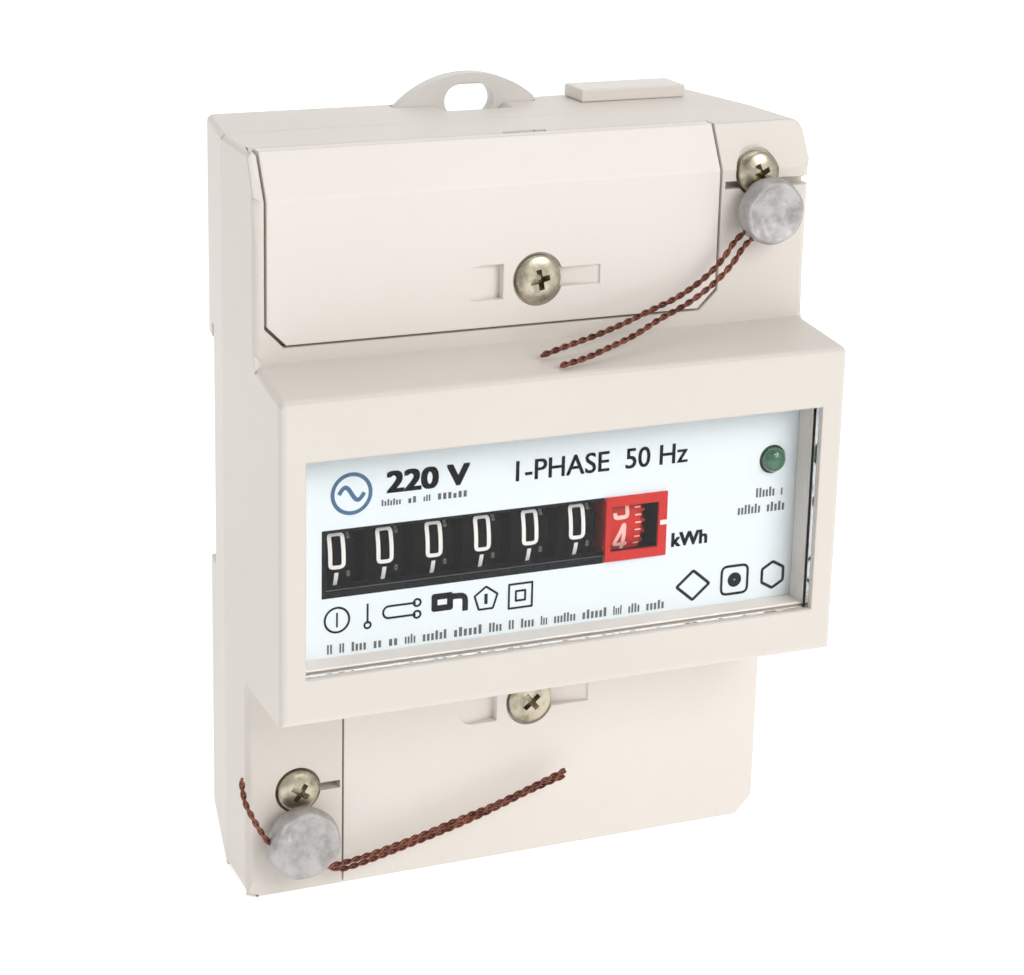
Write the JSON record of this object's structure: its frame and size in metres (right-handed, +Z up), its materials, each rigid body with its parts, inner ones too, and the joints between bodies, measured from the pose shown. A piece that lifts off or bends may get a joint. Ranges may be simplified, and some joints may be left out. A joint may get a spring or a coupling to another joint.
{
  "type": "electricity meter with a drum register",
  "caption": "Modular electricity meter for a mounting rail: stepped case with a raised register window, rolling digit drums, terminal covers, rail latch and wire seals.",
  "frame": {"origin": "middle of the rail channel, in the plane of the flat back", "axes": "+Z up, -Y out of the front, +X to the right seen from the front"},
  "size_m": [0.0846, 0.042, 0.1124],
  "materials": {
    "case_plastic": "smooth moulded, warm off-white",
    "cover_plastic": "smooth moulded, warm off-white",
    "hanger_plastic": "smooth moulded, light grey",
    "clear_window": "clear acrylic",
    "label_print": "pale blue-white printed plate",
    "drum_black": "black with white numerals",
    "drum_red": "red",
    "gear_plastic": "natural acetal",
    "register_frame": "black moulded",
    "bright_steel": "bright steel",
    "zinc_screws": "yellow zinc plated",
    "terminal_brass": "plain brass",
    "block_plastic": "black moulded",
    "copper_wire": "enamelled copper winding",
    "seal_wire": "twisted copper",
    "seal_lead": "dull grey, mottled",
    "circuit_board": "green solder mask",
    "components": "blue moulded",
    "chip_black": "black moulded",
    "green_lens": "green tinted"
  },
  "bodies": {
    "case": {"rear_base": "case_plastic", "front_housing": "case_plastic", "entry_plug": "cover_plastic", "window_lens": "clear_window", "faceplate": "label_print", "decimal_bezel": "drum_red", "counter_frame": "register_frame", "drum_axle": "bright_steel", "pinion_axle": "bright_steel", "reduction_shaft": "bright_steel", "motor_can": "bright_steel", "board_screws": "bright_steel", "latch_spring": "bright_steel", "case_screws": "zinc_screws", "mains_terminal_screws": "zinc_screws", "pulse_terminal_screws": "zinc_screws", "mains_terminal_cages": "terminal_brass", "pulse_terminal_cages": "terminal_brass", "current_shunt": "terminal_brass", "neutral_link": "terminal_brass", "mains_terminal_block": "block_plastic", "pulse_terminal_block": "block_plastic", "motor_coil": "copper_wire", "upper_seal_wire_left": "seal_wire", "upper_seal_wire_right": "seal_wire", "lower_seal_wire_through": "seal_wire", "lower_seal_wire_right": "seal_wire", "upper_seal_disc": "seal_lead", "lower_seal_disc": "seal_lead", "main_circuit_board": "circuit_board", "supply_capacitor": "components", "smoothing_capacitor": "components", "surge_varistor": "components", "metering_chip": "chip_black", "pulse_optocoupler": "chip_black", "pulse_led": "green_lens", "led_light_pipe": "green_lens"},
    "upper_cover": {"upper_terminal_cover": "cover_plastic", "upper_cover_screw": "zinc_screws", "upper_cover_nut": "zinc_screws"},
    "lower_cover": {"lower_terminal_cover": "cover_plastic", "lower_cover_screw": "zinc_screws", "lower_cover_nut": "zinc_screws"},
    "hanger": {"wall_hanger": "hanger_plastic"},
    "latch": {"din_latch": "hanger_plastic"},
    "drum_1_body": {"drum_1": "drum_black"},
    "drum_2_body": {"drum_2": "drum_black"},
    "drum_3_body": {"drum_3": "drum_black"},
    "drum_4_body": {"drum_4": "drum_black"},
    "drum_5_body": {"drum_5": "drum_black"},
    "drum_6_body": {"drum_6": "drum_black"},
    "drum_7_body": {"drum_7": "drum_red"},
    "carry_pinion_1_body": {"carry_pinion_1": "gear_plastic"},
    "carry_pinion_2_body": {"carry_pinion_2": "gear_plastic"},
    "carry_pinion_3_body": {"carry_pinion_3": "gear_plastic"},
    "carry_pinion_4_body": {"carry_pinion_4": "gear_plastic"},
    "carry_pinion_5_body": {"carry_pinion_5": "gear_plastic"},
    "carry_pinion_6_body": {"carry_pinion_6": "gear_plastic"},
    "reduction_gear_body": {"reduction_gear": "gear_plastic"},
    "motor_rotor_body": {"motor_rotor": "bright_steel"}
  },
  "joints": [
    {"name": "upper_cover_slide", "type": "slide", "parent": "case", "child": "upper_cover", "axis": [0, 0, 1], "range_m": [0, 0.02]},
    {"name": "lower_cover_slide", "type": "slide", "parent": "case", "child": "lower_cover", "axis": [0, 0, -1], "range_m": [0, 0.02]},
    {"name": "hanger_slide", "type": "slide", "parent": "case", "child": "hanger", "axis": [0, 0, 1], "range_m": [0, 0.006]},
    {"name": "latch_slide", "type": "slide", "parent": "case", "child": "latch", "axis": [0, 0, -1], "range_m": [0, 0.004], "stiffness_N_per_m": 700, "springref_m": -0.002, "deforming": ["latch_spring"]},
    {"name": "drum_7_spin", "type": "hinge", "parent": "case", "child": "drum_7_body", "pos_m": [0.011, -0.0264, -0.0078], "axis": [1, 0, 0], "continuous": true},
    {"name": "drum_6_spin", "type": "hinge", "parent": "case", "child": "drum_6_body", "pos_m": [0.00385, -0.0264, -0.0078], "axis": [1, 0, 0], "continuous": true},
    {"name": "drum_5_spin", "type": "hinge", "parent": "case", "child": "drum_5_body", "pos_m": [-0.0033, -0.0264, -0.0078], "axis": [1, 0, 0], "continuous": true},
    {"name": "drum_4_spin", "type": "hinge", "parent": "case", "child": "drum_4_body", "pos_m": [-0.01045, -0.0264, -0.0078], "axis": [1, 0, 0], "continuous": true},
    {"name": "drum_3_spin", "type": "hinge", "parent": "case", "child": "drum_3_body", "pos_m": [-0.0176, -0.0264, -0.0078], "axis": [1, 0, 0], "continuous": true},
    {"name": "drum_2_spin", "type": "hinge", "parent": "case", "child": "drum_2_body", "pos_m": [-0.02475, -0.0264, -0.0078], "axis": [1, 0, 0], "continuous": true},
    {"name": "drum_1_spin", "type": "hinge", "parent": "case", "child": "drum_1_body", "pos_m": [-0.0319, -0.0264, -0.0078], "axis": [1, 0, 0], "continuous": true},
    {"name": "carry_pinion_1_spin", "type": "hinge", "parent": "case", "child": "carry_pinion_1_body", "pos_m": [-0.02832, -0.02007, -0.01535], "axis": [1, 0, 0], "continuous": true},
    {"name": "carry_pinion_2_spin", "type": "hinge", "parent": "case", "child": "carry_pinion_2_body", "pos_m": [-0.02117, -0.02007, -0.01535], "axis": [1, 0, 0], "continuous": true},
    {"name": "carry_pinion_3_spin", "type": "hinge", "parent": "case", "child": "carry_pinion_3_body", "pos_m": [-0.01402, -0.02007, -0.01535], "axis": [1, 0, 0], "continuous": true},
    {"name": "carry_pinion_4_spin", "type": "hinge", "parent": "case", "child": "carry_pinion_4_body", "pos_m": [-0.00688, -0.02007, -0.01535], "axis": [1, 0, 0], "continuous": true},
    {"name": "carry_pinion_5_spin", "type": "hinge", "parent": "case", "child": "carry_pinion_5_body", "pos_m": [0.00028, -0.02007, -0.01535], "axis": [1, 0, 0], "continuous": true},
    {"name": "carry_pinion_6_spin", "type": "hinge", "parent": "case", "child": "carry_pinion_6_body", "pos_m": [0.00743, -0.02007, -0.01535], "axis": [1, 0, 0], "continuous": true},
    {"name": "reduction_gear_spin", "type": "hinge", "parent": "case", "child": "reduction_gear_body", "pos_m": [0.015, -0.02138, 0.0009], "axis": [1, 0, 0], "continuous": true},
    {"name": "motor_rotor_spin", "type": "hinge", "parent": "case", "child": "motor_rotor_body", "pos_m": [0.02, -0.02707, 0.0066], "axis": [1, 0, 0], "continuous": true}
  ],
  "couplings": [
    {"joint": "drum_6_spin", "follows": "drum_7_spin", "ratio": 0.1},
    {"joint": "drum_5_spin", "follows": "drum_7_spin", "ratio": 0.01},
    {"joint": "drum_4_spin", "follows": "drum_7_spin", "ratio": 0.001},
    {"joint": "drum_3_spin", "follows": "drum_7_spin", "ratio": 0.0001},
    {"joint": "drum_2_spin", "follows": "drum_7_spin", "ratio": 0.00001},
    {"joint": "drum_1_spin", "follows": "drum_7_spin", "ratio": 0.000001},
    {"joint": "carry_pinion_1_spin", "follows": "drum_7_spin", "ratio": -0.0000025},
    {"joint": "carry_pinion_2_spin", "follows": "drum_7_spin", "ratio": -0.000025},
    {"joint": "carry_pinion_3_spin", "follows": "drum_7_spin", "ratio": -0.00025},
    {"joint": "carry_pinion_4_spin", "follows": "drum_7_spin", "ratio": -0.0025},
    {"joint": "carry_pinion_5_spin", "follows": "drum_7_spin", "ratio": -0.025},
    {"joint": "carry_pinion_6_spin", "follows": "drum_7_spin", "ratio": -0.25},
    {"joint": "reduction_gear_spin", "follows": "drum_7_spin", "ratio": -3},
    {"joint": "motor_rotor_spin", "follows": "drum_7_spin", "ratio": 12}
  ]
}
